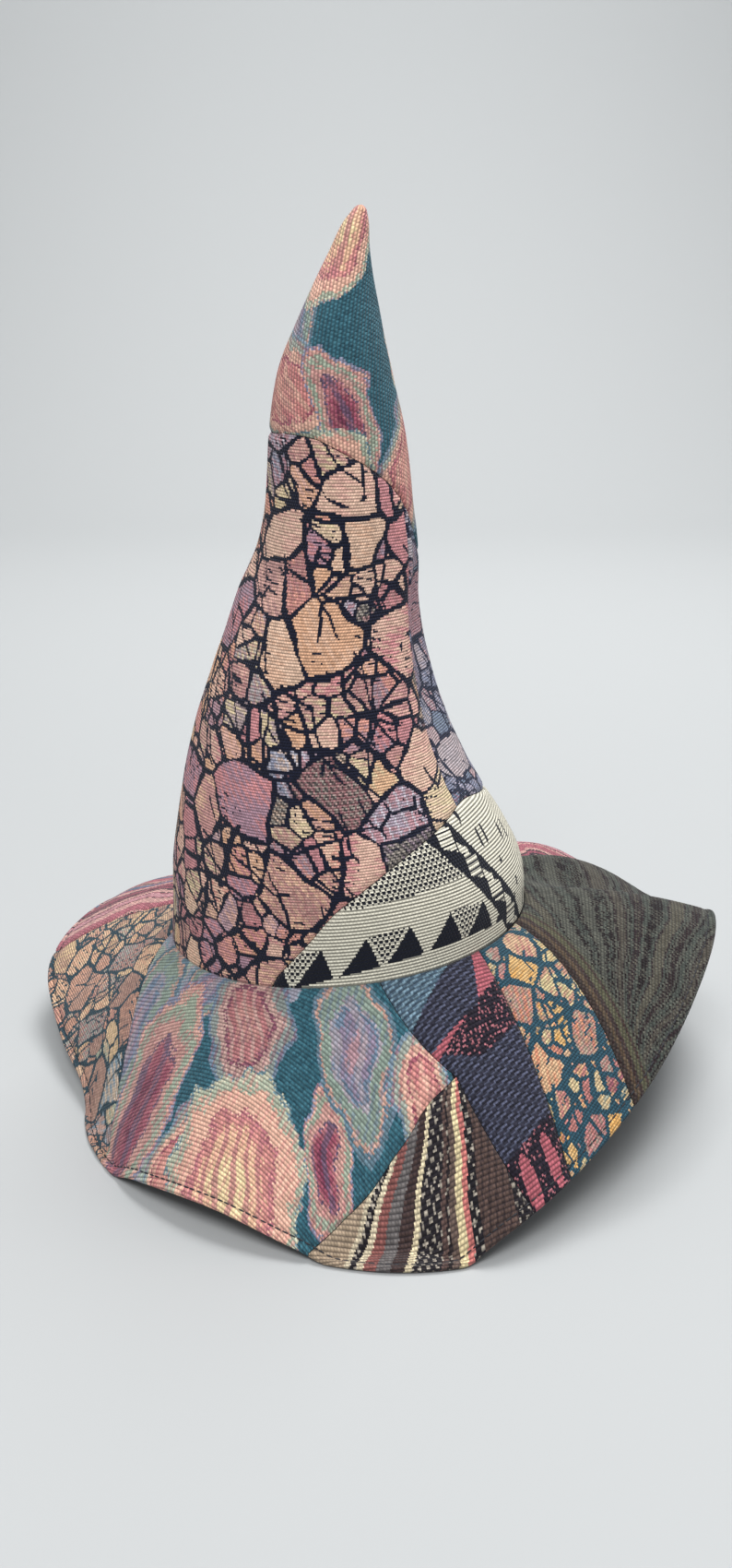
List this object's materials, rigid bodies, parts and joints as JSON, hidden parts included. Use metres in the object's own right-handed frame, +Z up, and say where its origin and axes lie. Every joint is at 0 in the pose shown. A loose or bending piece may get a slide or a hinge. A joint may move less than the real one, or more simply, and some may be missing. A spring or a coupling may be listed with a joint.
{
  "type": "pointed hat",
  "caption": "Tall pointed patchwork hat in thick tapestry cloth, with a softly crumpled cone crown and a wavy, floppy brim over a dark facing; it stands on its own brim.",
  "frame": {"origin": "on the floor under the middle of the hat's outline seen from above", "axes": "+Z up through the crown to the point, -Y towards the front of the hat, +X to its right as the viewer sees it"},
  "size_m": [0.3784, 0.3524, 0.4435],
  "materials": {
    "banded_tapestry": "matte, ribbed jacquard weave in teal, sage, rose and peach",
    "crackle_tapestry": "matte, ribbed jacquard weave, salmon and peach cells between navy lines",
    "slate_crackle_tapestry": "matte, ribbed jacquard weave, slate and lavender cells between navy lines",
    "triangle_tapestry": "matte, cream ribbed weave with black triangles",
    "stripe_tapestry": "matte, brown, black and cream wavy stripes",
    "diamond_tapestry": "matte, navy ribbed diamonds on black and rose",
    "mosaic_tapestry": "matte, yellow and orange cells on teal",
    "charcoal_tapestry": "matte, charcoal marl with fine maroon stripes",
    "rose_tapestry": "matte, rose and slate stripes",
    "facing_cloth": "matte, plain dark weave"
  },
  "bodies": {
    "root": {"crown_tip_panel": "banded_tapestry", "crown_front_panel": "crackle_tapestry", "crown_back_panel": "slate_crackle_tapestry", "crown_side_panel": "triangle_tapestry", "brim_front_patch": "banded_tapestry", "brim_stripe_patch": "stripe_tapestry", "brim_diamond_patch": "diamond_tapestry", "brim_mosaic_patch": "mosaic_tapestry", "brim_dark_patch": "charcoal_tapestry", "brim_rose_patch": "rose_tapestry", "brim_back_patch": "charcoal_tapestry", "brim_ruddy_patch": "rose_tapestry", "brim_left_patch": "mosaic_tapestry", "brim_facing": "facing_cloth"}
  },
  "joints": []
}
